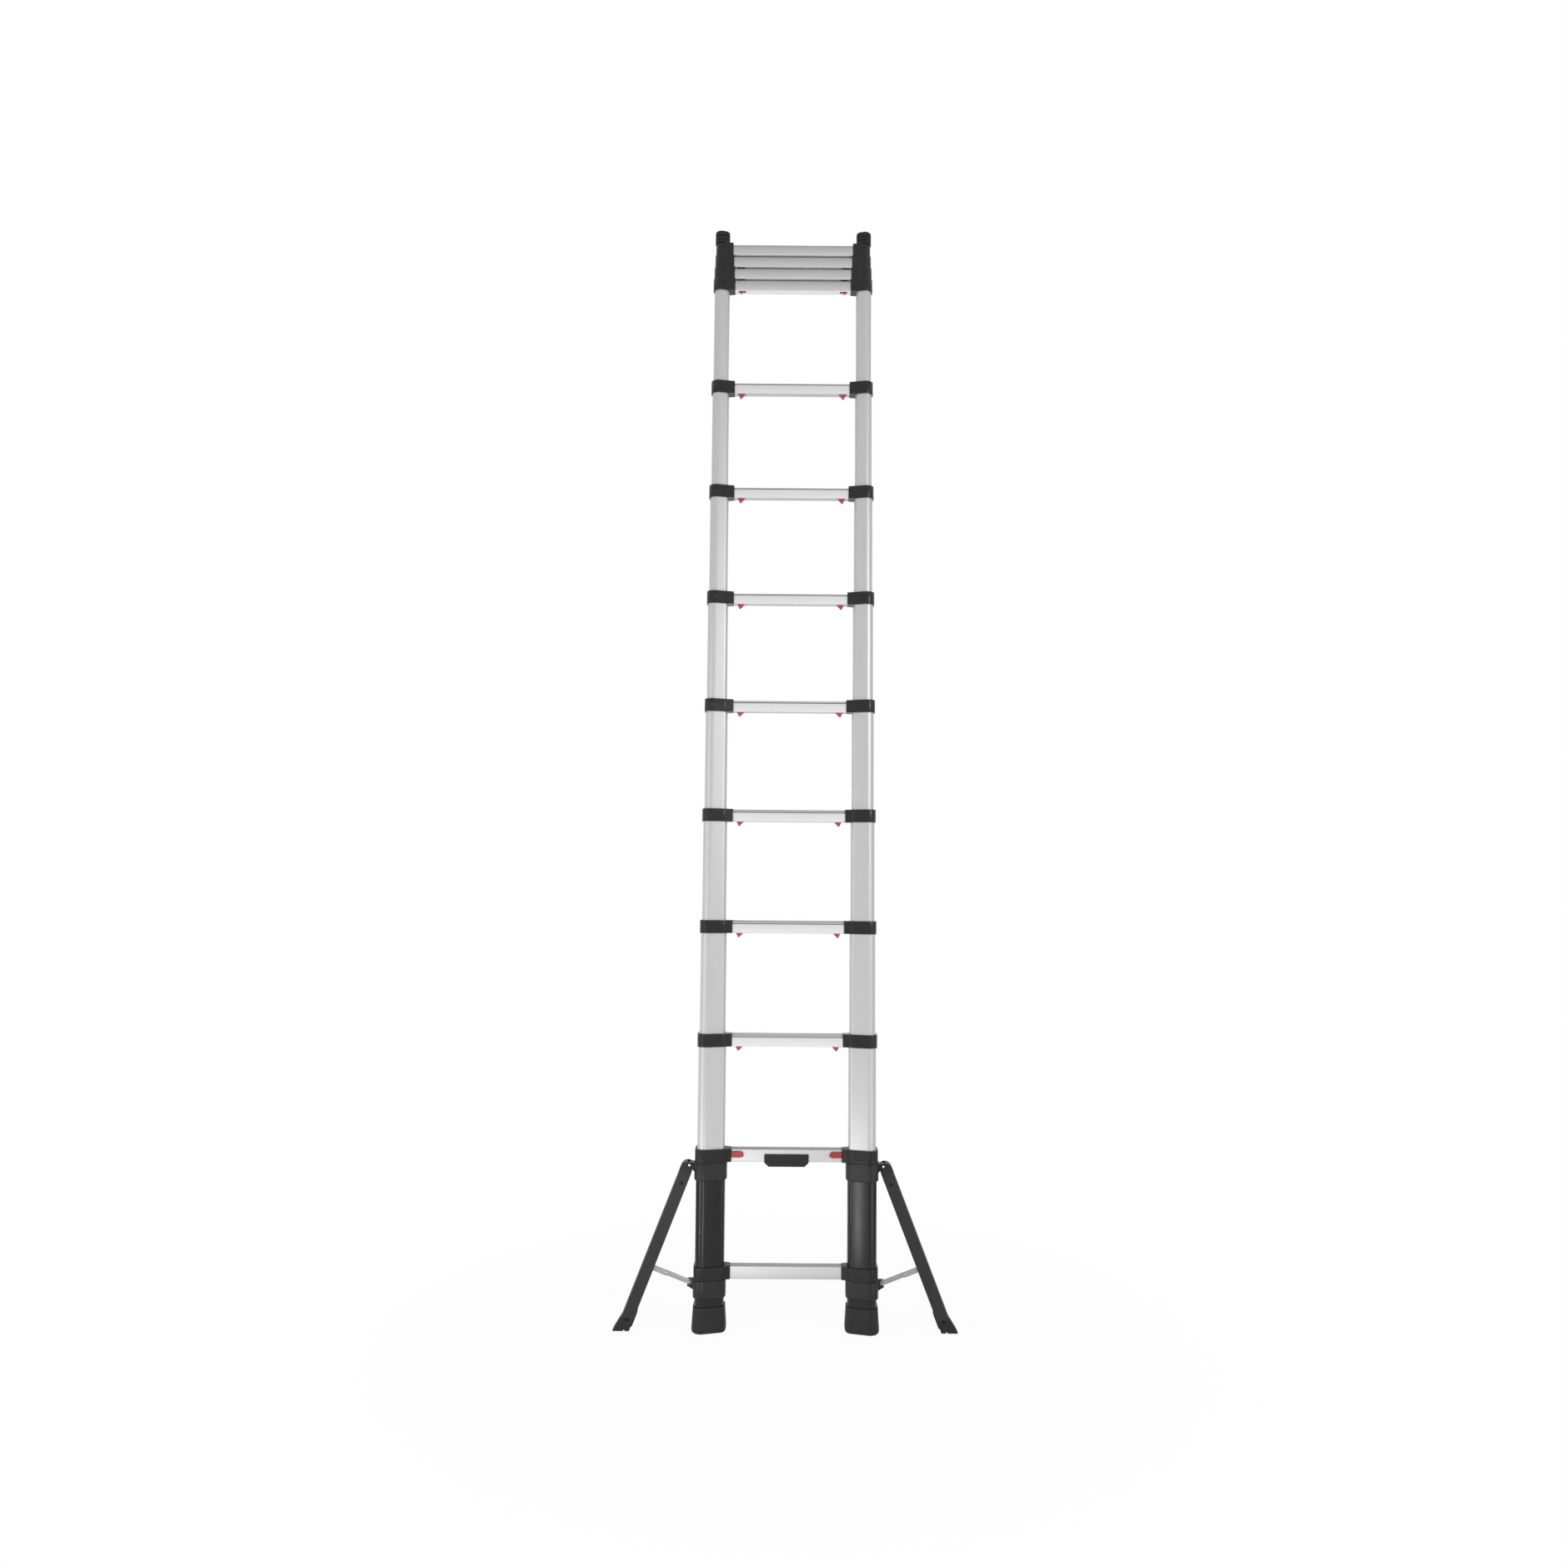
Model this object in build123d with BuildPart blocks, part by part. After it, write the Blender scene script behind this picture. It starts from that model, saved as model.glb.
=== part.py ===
from build123d import *
import os
from math import atan2, cos, degrees, hypot, radians, sin, tan

# Telescopic ladder with two folding stabiliser legs, in millimetres.
# X runs across the ladder, Y from front to back, Z up from the floor.
# Sections 2 to 9 stand pulled out, sections 10 to 12 are still stacked on top.

# Ladder layout
SECTION_COUNT = 12
EXTENDED_COUNT = 9
FIRST_RUNG_HEIGHT = 150
RUNG_PITCH = 300
STILE_SPACING = 400

# Clearances
FIT = 0.15
RUNNING_GAP = 0.3
STACK_GAP = 0.6
PASS_GAP = 0.35

# Rows of flats that round the edges of feet and caps
EDGE_ROWS = 3

# Stile tubes, a rounded trapezoid with its long side outward
STILE_WIDTH = 76
STILE_DEPTH = 84
STILE_TAPER = 16
STILE_WALL = 1.3
SIDE_GAP = 0.8
FACE_GAP = 0.35
OUTER_CORNER = 18
INNER_CORNER = 12
OUTER_CORNER_SHARE = 0.36
INNER_CORNER_SHARE = 0.5
STILE_OVERLAP = 70

# Rungs, a hollow extrusion with a ribbed tread that rises to the back
RUNG_DEPTH = 24
RUNG_FACE = 25.2
BASE_RUNG_FACE = 32.5
RUNG_WALL = 1.8
RUNG_CORNER = 2.5
GROOVE_PLACE = 3
GROOVE_WIDTH = 1.8
GROOVE_DEPTH = 0.9
RIB_COUNT = 4
RIB_PITCH = 4.4
RIB_WIDTH = 1.6
RIB_HEIGHT = 0.6

# Knuckles, moulded on the tube ends to hold the rungs
KNUCKLE_HEIGHT = 34.4
KNUCKLE_WALL = 3.5
KNUCKLE_LIP = 4
NECK_LENGTH = 16
NECK_SIDE = 2.5
NECK_SINK = 0.5
SPIGOT_LENGTH = 6.5
PANEL_WIDTH = 38
PANEL_HEIGHT = 14
PANEL_DEPTH = 1.2

# Unlocking triggers under the rungs
TRIGGER_WIDTH = 19.5
TRIGGER_DEPTH = 10
TRIGGER_DROP = 11.5
TRIGGER_TUCK = 0.5
TRIGGER_PART_LIFT = 7
TRIGGER_INSET = 10
TRIGGER_TIP = 2.5
TRIGGER_OUTER_LEAN = 5.5
TRIGGER_FLANGE = 2
TRIGGER_FLANGE_THICK = 3
TRIGGER_SETBACK = 2.2

# Release buttons on the second rung
BUTTON_LENGTH = 31
BUTTON_HEIGHT = 16
BUTTON_RISE = 2.5
BUTTON_THICK = 5
BUTTON_TRAVEL = 10
BUTTON_CORNER = 8
BUTTON_EDGE = 1.2
STEM_LENGTH = 12
STEM_HEIGHT = 7
PIN_DIAMETER = 8
PIN_BLOCK = 12

# Front plate on the second rung
PLATE_WIDTH = 117
PLATE_LIP_WIDTH = 95
PLATE_RISE = 3.2
PLATE_BODY = 22
PLATE_LIP = 10
PLATE_THICK = 3
PLATE_CORNER = 2
PLATE_RIM = 2.5
PLATE_PANEL_DEPTH = 0.6
PLATE_PEG = 4
PLATE_PEG_SPACING = 80
PLATE_PEG_DROP = 8

# Ladder feet
FOOT_HEIGHT = 66
FOOT_FLOOR = 12
FOOT_TOP_GROW = 3.4
FOOT_SOLE_GROW = 6.7
FOOT_SOLE_HEIGHT = 14
FOOT_EDGE = 8

# Top caps, ribbed rubber
CAP_RING_COUNT = 2
CAP_RING_HEIGHT = 8
CAP_GROOVE_HEIGHT = 2.5
CAP_RING_GROW = 5.6
CAP_GROOVE_GROW = 3.8
CAP_HEAD_HEIGHT = 14
CAP_PLUG = 14
CAP_EDGE = 4

# Stabiliser collars
COLLAR_HEIGHT = 45.5
COLLAR_WALL = 4.5
COLLAR_EDGE = 3
HINGE_REACH = 13
HINGE_DROP = 8
HINGE_EDGE = 6.5
HINGE_PIN = 8
HINGE_BORE = 4.6
HINGE_LUG = 5.5
HINGE_LUG_DROP = 18
HINGE_HEAD = 11
HINGE_HEAD_THICK = 1.5
STAY_REACH = 11
STAY_DROP = 8.5
STAY_LUG_RADIUS = 7
STAY_LUG_OUT = 5.5
STAY_LUG_SIDE = 11
STAY_LUG_DROP = 21
STAY_LUG_THICK = 11.4

# Stabiliser legs, a channel open towards the ladder
LEG_SPREAD = 21.3
LEG_FOLD = 20
LEG_INNER = 12.5
LEG_OUTER = 21
LEG_DEPTH = 32
LEG_WALL = 2
LEG_EDGE = 2.5
LEG_SHOULDER = 19
LEG_MOUTH = 8
LEG_NECK = 19
LEG_END_HEIGHT = 38.5
LEG_HEAD_LENGTH = 23
LEG_HEAD_GROW = 0.8
STAY_PIVOT_ALONG = 280
STAY_PIVOT_OUT = -5.5

# Stabiliser leg feet, plugged into the legs
BOOT_SOLE = 43
BOOT_TOE_HEIGHT = 3
BOOT_TONGUE = 22
HEEL_PROUD = 2.6
HEEL_RISE = 22
HEEL_FALL = 17.5
HEEL_INSET = 2
NOTCH_PLACE = 14
NOTCH_WIDTH = 4
NOTCH_HEIGHT = 3

# Folding stays between collar and leg
STAY_PIN = 6
STAY_PIN_HEAD = 9
STAY_THICK = 2.5
STAY_LONG_WIDTH = 12.5
STAY_SHORT_WIDTH = 14
STAY_GROOVE_WIDTH = 5
STAY_GROOVE_DEPTH = 0.8
KNEE_HEAD = 9
KNEE_HEAD_THICK = 1
RIVET_THICK = 1.5

# Heights and places that follow from the sizes above
SIDE_STEP = STILE_WALL + SIDE_GAP
FACE_STEP = STILE_WALL + FACE_GAP
STILE_AXIS = STILE_SPACING / 2
TAPER = radians(STILE_TAPER)
STACK_PITCH = KNUCKLE_HEIGHT + STACK_GAP
STILE_EDGE = STILE_AXIS + STILE_WIDTH / 2
BUTTON_RUNG_HEIGHT = FIRST_RUNG_HEIGHT + RUNG_PITCH
TRIGGER_TRAVEL = TRIGGER_DROP + TRIGGER_TUCK
RUNG_FRONT = -RUNG_DEPTH / 2
TRIGGER_FRONT = RUNG_FRONT + RUNG_WALL + TRIGGER_SETBACK
TRIGGER_MIDDLE = TRIGGER_FRONT + TRIGGER_DEPTH / 2


def rung_height(rung):
    """Height of a rung's centre, at the full pitch or at the stacked pitch."""
    extended = min(rung, EXTENDED_COUNT + 1)
    return FIRST_RUNG_HEIGHT + (extended - 1) * RUNG_PITCH + (rung - extended) * STACK_PITCH


def half_width(section):
    """Half of a section's stile across the ladder."""
    return STILE_WIDTH / 2 - (section - 1) * SIDE_STEP


def half_depth(section):
    """Half of a section's stile from front to back, at its outer side."""
    return STILE_DEPTH / 2 - (section - 1) * (SIDE_STEP * tan(TAPER) + FACE_STEP / cos(TAPER))


def inner_edge(section):
    """Distance from the ladder's middle to the inner face of a section's stile."""
    return STILE_AXIS - half_width(section)


def neck_end(section):
    """Distance from the ladder's middle to the end of a knuckle's neck."""
    return inner_edge(section) - NECK_LENGTH


def rung_plane(height, across=0):
    """Cross-section plane of a rung: local x runs to the back, local y runs up."""
    return Plane(origin=(across, 0, height), x_dir=(0, 1, 0), z_dir=(1, 0, 0))


class StileOutline(BaseSketchObject):
    """Outline of a section's stile on the right-hand side, grown or shrunk evenly."""

    def __init__(self, section, grow=0, mode=Mode.ADD):
        outer = half_depth(section)
        inner = outer - 2 * half_width(section) * tan(TAPER)
        outer_corner = min(OUTER_CORNER, 2 * outer * OUTER_CORNER_SHARE) + grow
        inner_corner = min(INNER_CORNER, 2 * inner * INNER_CORNER_SHARE) + grow
        across = half_width(section) + grow
        outer += grow * (1 / cos(TAPER) + tan(TAPER))
        inner += grow * (1 / cos(TAPER) - tan(TAPER))
        with BuildSketch() as outline:
            with Locations((STILE_AXIS, 0)):
                Polygon((across, -outer), (across, outer), (-across, inner), (-across, -inner), align=None)
            fillet(outline.vertices().group_by(Axis.X)[-1], outer_corner)
            fillet(outline.vertices().group_by(Axis.X)[0], inner_corner)
        super().__init__(outline.sketch, align=None, mode=mode)


def tread_slope(section):
    """Angle of the tread, which ends level with the knuckles at the back."""
    face = BASE_RUNG_FACE if section == 1 else RUNG_FACE
    return atan2(KNUCKLE_HEIGHT - face, RUNG_DEPTH)


def tread_height(section, back):
    """Height of the tread above the rung's centre, at a place in front of or behind it."""
    return KNUCKLE_HEIGHT / 2 + (back - RUNG_DEPTH / 2) * tan(tread_slope(section))


class RungOutline(BaseSketchObject):
    """Cross-section of a rung: upright front and back, level underside and sloping tread."""

    def __init__(self, section, grow=0, corner=0, mode=Mode.ADD):
        back = RUNG_DEPTH / 2 + grow
        bottom = -KNUCKLE_HEIGHT / 2 - grow
        lift = grow / cos(tread_slope(section))
        with BuildSketch() as outline:
            Polygon(
                (-back, bottom),
                (back, bottom),
                (back, tread_height(section, back) + lift),
                (-back, tread_height(section, -back) + lift),
                align=None,
            )
            if corner:
                fillet(outline.vertices(), corner)
        super().__init__(outline.sketch, align=None, mode=mode)


def save(part, name):
    """Name a finished piece and write it to its own file."""
    part.label = name
    export_step(part, f"parts/{name}.step")


def build_stiles(section, top, bottom):
    """Pair of tubes of one section, with the lock pin holes on the base section."""
    with BuildPart() as stiles:
        with BuildSketch(Plane.XY.offset(bottom)):
            StileOutline(section)
            StileOutline(section, grow=-STILE_WALL, mode=Mode.SUBTRACT)
        extrude(amount=top - bottom)
        if section == 1:
            with BuildSketch(rung_plane(BUTTON_RUNG_HEIGHT, inner_edge(section))):
                Circle(PIN_DIAMETER / 2 + RUNNING_GAP)
            extrude(amount=2 * STILE_WALL, both=True, mode=Mode.SUBTRACT)
        mirror(about=Plane.YZ)
    return stiles.part


def build_knuckles(section, height, end_piece=True):
    """Pair of knuckles: a sleeve round the tube, and a neck whose spigot enters the rung's end."""
    bottom = height - KNUCKLE_HEIGHT / 2
    sleeve = KNUCKLE_HEIGHT - KNUCKLE_LIP if end_piece else KNUCKLE_HEIGHT
    end = neck_end(section)
    neck_half = RUNG_DEPTH / 2 + NECK_SIDE
    face_middle = half_depth(section) - half_width(section) * tan(TAPER) + KNUCKLE_WALL / cos(TAPER)
    root_half = face_middle - NECK_SINK
    with BuildPart() as knuckles:
        with BuildSketch(Plane.XY.offset(bottom)):
            StileOutline(section, grow=KNUCKLE_WALL)
            Polygon(
                (end, -neck_half),
                (STILE_AXIS, -root_half),
                (STILE_AXIS, root_half),
                (end, neck_half),
                align=None,
            )
        extrude(amount=KNUCKLE_HEIGHT)
        with BuildSketch(rung_plane(height, end)):
            RungOutline(section, grow=-RUNG_WALL - FIT)
        extrude(amount=-SPIGOT_LENGTH)
        with BuildSketch(Plane.XY.offset(bottom)):
            StileOutline(section, grow=FIT)
        extrude(amount=sleeve, mode=Mode.SUBTRACT)
        if end_piece:
            with BuildSketch(Plane.XY.offset(bottom + sleeve)):
                StileOutline(section + 1, grow=PASS_GAP)
            extrude(amount=KNUCKLE_LIP, mode=Mode.SUBTRACT)
        if section == 1 and end_piece:
            with BuildSketch(rung_plane(height, end - SPIGOT_LENGTH)):
                Circle(PIN_DIAMETER / 2 + RUNNING_GAP)
            extrude(amount=NECK_LENGTH + SPIGOT_LENGTH, mode=Mode.SUBTRACT)
        panel_width = min(PANEL_WIDTH, half_width(section))
        for side in (-1, 1):
            panel = Plane(
                origin=(STILE_AXIS, side * face_middle, height),
                x_dir=(cos(TAPER), side * sin(TAPER), 0),
                z_dir=(-sin(TAPER), side * cos(TAPER), 0),
            )
            with BuildSketch(panel):
                Rectangle(panel_width, PANEL_HEIGHT)
            extrude(amount=-PANEL_DEPTH, mode=Mode.SUBTRACT)
        mirror(about=Plane.YZ)
    return knuckles.part


def trigger_outer(section):
    """Distance from the ladder's middle to the outer side of a trigger."""
    return neck_end(section) - TRIGGER_INSET


def build_rung(section, heights, has_triggers):
    """Rungs at the given heights, ribbed on top and slotted for what slides in them."""
    slope = degrees(tread_slope(section))
    groove = RUNG_FRONT + GROOVE_PLACE
    ribs = [groove + RIB_PITCH * (rib + 1) for rib in range(RIB_COUNT)]
    with BuildPart() as rungs:
        for height in heights:
            with BuildSketch(rung_plane(height)):
                RungOutline(section, corner=RUNG_CORNER)
                RungOutline(section, grow=-RUNG_WALL, mode=Mode.SUBTRACT)
                with Locations(*[(rib, tread_height(section, rib)) for rib in ribs]):
                    Rectangle(RIB_WIDTH, 2 * RIB_HEIGHT, rotation=slope)
                with Locations((groove, tread_height(section, groove))):
                    Rectangle(GROOVE_WIDTH, 2 * GROOVE_DEPTH, rotation=slope, mode=Mode.SUBTRACT)
            extrude(amount=neck_end(section), both=True)
        if has_triggers:
            centre = trigger_outer(section) - TRIGGER_WIDTH / 2
            with BuildSketch(Plane.XY.offset(heights[0] - KNUCKLE_HEIGHT)):
                with Locations((-centre, TRIGGER_MIDDLE), (centre, TRIGGER_MIDDLE)):
                    Rectangle(TRIGGER_WIDTH + 2 * RUNNING_GAP, TRIGGER_DEPTH + 2 * RUNNING_GAP)
            extrude(amount=KNUCKLE_HEIGHT, mode=Mode.SUBTRACT)
        if section == 1:
            slot_centre = neck_end(section) - RUNNING_GAP - (BUTTON_LENGTH + BUTTON_TRAVEL) / 2
            slot_length = STEM_LENGTH + BUTTON_TRAVEL + 2 * RUNNING_GAP
            with BuildSketch(Plane.XZ):
                with Locations((-slot_centre, BUTTON_RUNG_HEIGHT), (slot_centre, BUTTON_RUNG_HEIGHT)):
                    Rectangle(slot_length, STEM_HEIGHT + 2 * RUNNING_GAP)
                with Locations((0, BUTTON_RUNG_HEIGHT - PLATE_PEG_DROP)):
                    with GridLocations(PLATE_PEG_SPACING, 1, 2, 1):
                        Circle(PLATE_PEG / 2 + FIT)
            extrude(amount=RUNG_DEPTH, mode=Mode.SUBTRACT)
    return rungs.part


def build_triggers(section, height, lift):
    """Pair of wedges that stick out below a rung, steep outside and shallow inside."""
    outer = trigger_outer(section)
    underside = height - KNUCKLE_HEIGHT / 2 + lift
    floor = underside + RUNG_WALL
    with BuildPart() as triggers:
        with BuildSketch(Plane.XZ.offset(-TRIGGER_FRONT)):
            Polygon(
                (outer, floor),
                (outer - TRIGGER_WIDTH, floor),
                (outer - TRIGGER_WIDTH, underside),
                (outer - TRIGGER_OUTER_LEAN - TRIGGER_TIP, underside - TRIGGER_DROP),
                (outer - TRIGGER_OUTER_LEAN, underside - TRIGGER_DROP),
                (outer, underside),
                align=None,
            )
            with Locations((outer - TRIGGER_WIDTH / 2, floor)):
                Rectangle(
                    TRIGGER_WIDTH + 2 * TRIGGER_FLANGE,
                    TRIGGER_FLANGE_THICK,
                    align=(Align.CENTER, Align.MIN),
                )
        extrude(amount=-TRIGGER_DEPTH)
        mirror(about=Plane.YZ)
    return triggers.part


def round_over(section, grow, level, radius, upward):
    """Edge of a moulding that follows a stile's outline, rounded inward in rows of flats."""
    with BuildPart() as edge:
        for row in range(EDGE_ROWS + 1):
            turn = radians(90 * row / EDGE_ROWS)
            with BuildSketch(Plane.XY.offset(level + upward * radius * sin(turn))):
                StileOutline(section, grow=grow - radius * (1 - cos(turn)))
        loft(ruled=True)
    return edge.part


os.makedirs("parts", exist_ok=True)

# Sliding sections, each with its tubes, rung, knuckles and triggers
for section in range(2, SECTION_COUNT + 1):
    height = rung_height(section + 1)
    tube_top = height + KNUCKLE_HEIGHT / 2 - KNUCKLE_LIP
    tube_bottom = height - RUNG_PITCH - STILE_OVERLAP
    is_last = section == SECTION_COUNT
    save(build_stiles(section, tube_top, tube_bottom), f"stiles_{section:02d}")
    save(build_knuckles(section, height), f"knuckles_{section:02d}")
    save(build_rung(section, [height], not is_last), f"rung_{section:02d}")
    if not is_last:
        lift = 0
        if section == EXTENDED_COUNT:
            lift = TRIGGER_PART_LIFT
        if section > EXTENDED_COUNT:
            lift = TRIGGER_TRAVEL
        save(build_triggers(section, height, lift), f"triggers_{section:02d}")

# Base section, which carries the first two rungs
base_top = BUTTON_RUNG_HEIGHT + KNUCKLE_HEIGHT / 2 - KNUCKLE_LIP
save(build_stiles(1, base_top, FOOT_FLOOR), "base_stiles")
save(build_rung(1, [FIRST_RUNG_HEIGHT, BUTTON_RUNG_HEIGHT], False), "base_rungs")
lower_knuckles = build_knuckles(1, FIRST_RUNG_HEIGHT, end_piece=False)
upper_knuckles = build_knuckles(1, BUTTON_RUNG_HEIGHT)
with BuildPart() as base_knuckles:
    add(lower_knuckles)
    add(upper_knuckles)
save(base_knuckles.part, "base_knuckles")

# Rubber feet, flared down to a sole with rounded edges
with BuildPart() as ladder_feet:
    add(round_over(1, FOOT_SOLE_GROW, FOOT_EDGE, FOOT_EDGE, -1))
    with BuildSketch(Plane.XY.offset(FOOT_EDGE)):
        StileOutline(1, grow=FOOT_SOLE_GROW)
    extrude(amount=FOOT_SOLE_HEIGHT - FOOT_EDGE)
    with BuildSketch(Plane.XY.offset(FOOT_SOLE_HEIGHT)):
        StileOutline(1, grow=FOOT_SOLE_GROW)
    with BuildSketch(Plane.XY.offset(FOOT_HEIGHT)):
        StileOutline(1, grow=FOOT_TOP_GROW)
    loft(ruled=True)
    with BuildSketch(Plane.XY.offset(FOOT_FLOOR)):
        StileOutline(1, grow=FIT)
    extrude(amount=FOOT_HEIGHT - FOOT_FLOOR, mode=Mode.SUBTRACT)
    mirror(about=Plane.YZ)
save(ladder_feet.part, "ladder_feet")

# Ribbed rubber caps plugged into the top tubes, each with a rounded head
cap_bottom = rung_height(SECTION_COUNT + 1) + KNUCKLE_HEIGHT / 2
with BuildPart() as top_caps:
    level = cap_bottom
    for ring in range(CAP_RING_COUNT):
        for height, grow in ((CAP_RING_HEIGHT, CAP_RING_GROW), (CAP_GROOVE_HEIGHT, CAP_GROOVE_GROW)):
            with BuildSketch(Plane.XY.offset(level)):
                StileOutline(SECTION_COUNT, grow=grow)
            extrude(amount=height)
            level += height
    with BuildSketch(Plane.XY.offset(level)):
        StileOutline(SECTION_COUNT, grow=CAP_RING_GROW)
    extrude(amount=CAP_HEAD_HEIGHT - CAP_EDGE)
    add(round_over(SECTION_COUNT, CAP_RING_GROW, level + CAP_HEAD_HEIGHT - CAP_EDGE, CAP_EDGE, 1))
    with BuildSketch(Plane.XY.offset(cap_bottom - CAP_PLUG)):
        StileOutline(SECTION_COUNT + 1)
    extrude(amount=CAP_PLUG)
    mirror(about=Plane.YZ)
save(top_caps.part, "top_caps")

# Bare moulded plate pegged to the front of the second rung
plate_top = BUTTON_RUNG_HEIGHT + PLATE_RISE
with BuildPart() as front_plate:
    with BuildSketch(Plane.XZ.offset(-RUNG_FRONT)) as plate_outline:
        Polygon(
            (-PLATE_WIDTH / 2, plate_top),
            (-PLATE_WIDTH / 2, plate_top - PLATE_BODY),
            (-PLATE_LIP_WIDTH / 2, plate_top - PLATE_BODY - PLATE_LIP),
            (PLATE_LIP_WIDTH / 2, plate_top - PLATE_BODY - PLATE_LIP),
            (PLATE_WIDTH / 2, plate_top - PLATE_BODY),
            (PLATE_WIDTH / 2, plate_top),
            align=None,
        )
        fillet(plate_outline.vertices(), PLATE_CORNER)
    extrude(amount=PLATE_THICK)
    with BuildSketch(Plane.XZ.offset(PLATE_THICK - RUNG_FRONT)):
        with Locations((0, plate_top - PLATE_BODY / 2)):
            RectangleRounded(PLATE_WIDTH - 2 * PLATE_RIM, PLATE_BODY - 2 * PLATE_RIM, PLATE_CORNER)
    extrude(amount=-PLATE_PANEL_DEPTH, mode=Mode.SUBTRACT)
    with BuildSketch(Plane.XZ.offset(-RUNG_FRONT)):
        with Locations((0, BUTTON_RUNG_HEIGHT - PLATE_PEG_DROP)):
            with GridLocations(PLATE_PEG_SPACING, 1, 2, 1):
                Circle(PLATE_PEG / 2)
    extrude(amount=-PLATE_PEG)
save(front_plate.part, "front_plate")

# Sliding release buttons, each with the lock pin it draws out of the stile
button_outer = neck_end(1) - RUNNING_GAP
stem_outer = button_outer - (BUTTON_LENGTH - STEM_LENGTH - BUTTON_TRAVEL) / 2 - BUTTON_TRAVEL / 2
button_back = RUNG_FRONT - FIT
with BuildPart() as release_button_right:
    with BuildSketch(Plane.XZ.offset(-button_back)) as button_outline:
        with Locations((button_outer, BUTTON_RUNG_HEIGHT + BUTTON_RISE)):
            Rectangle(BUTTON_LENGTH, BUTTON_HEIGHT, align=(Align.MAX, Align.CENTER))
        fillet(button_outline.vertices().group_by(Axis.X)[0], BUTTON_CORNER)
    extrude(amount=BUTTON_THICK)
    chamfer(release_button_right.faces().sort_by(Axis.Y)[0].edges(), BUTTON_EDGE)
    with BuildSketch(Plane.XZ.offset(-button_back)):
        with Locations((stem_outer, BUTTON_RUNG_HEIGHT)):
            Rectangle(STEM_LENGTH, STEM_HEIGHT, align=(Align.MAX, Align.CENTER))
    extrude(amount=button_back)
    with BuildSketch(rung_plane(BUTTON_RUNG_HEIGHT, stem_outer - STEM_LENGTH)):
        Rectangle(PIN_BLOCK, PIN_BLOCK)
    extrude(amount=STEM_LENGTH)
    with BuildSketch(rung_plane(BUTTON_RUNG_HEIGHT, stem_outer)):
        Circle(PIN_DIAMETER / 2)
    extrude(amount=inner_edge(1) + STILE_WALL - stem_outer)
save(release_button_right.part, "release_button_right")
with BuildPart() as release_button_left:
    mirror(release_button_right.part, about=Plane.YZ)
save(release_button_left.part, "release_button_left")

# Hinge points of the right-hand stabiliser, across and up
upper_collar_top = BUTTON_RUNG_HEIGHT - KNUCKLE_HEIGHT / 2 - RUNNING_GAP
lower_collar_top = FIRST_RUNG_HEIGHT - KNUCKLE_HEIGHT / 2 - RUNNING_GAP
collar_edge = STILE_EDGE + COLLAR_WALL
hinge_across = collar_edge + HINGE_REACH
hinge_up = upper_collar_top - HINGE_DROP
stay_across = collar_edge + STAY_REACH
stay_up = lower_collar_top - STAY_DROP
spread = radians(LEG_SPREAD)
folded_spread = radians(LEG_SPREAD - LEG_FOLD)


def leg_point(along, out, angle=spread):
    """Place on the leg: along it down from the hinge, and outward from the hinge line."""
    across = hinge_across + along * sin(angle) + out * cos(angle)
    up = hinge_up - along * cos(angle) + out * sin(angle)
    return across, up


stay_front = -STAY_LUG_THICK / 2 - RUNNING_GAP
short_front = stay_front - STAY_THICK - RUNNING_GAP
leg_pivot = leg_point(STAY_PIVOT_ALONG, STAY_PIVOT_OUT)
stay_span = hypot(leg_pivot[0] - stay_across, leg_pivot[1] - stay_up)
stay_angle = atan2(leg_pivot[1] - stay_up, leg_pivot[0] - stay_across)

# With the leg folded in, the two links lie on each other, which sets how the span is shared
folded_pivot = leg_point(STAY_PIVOT_ALONG, STAY_PIVOT_OUT, folded_spread)
folded_span = hypot(folded_pivot[0] - stay_across, folded_pivot[1] - stay_up)
long_length = (stay_span + folded_span) / 2
short_length = (stay_span - folded_span) / 2

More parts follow.
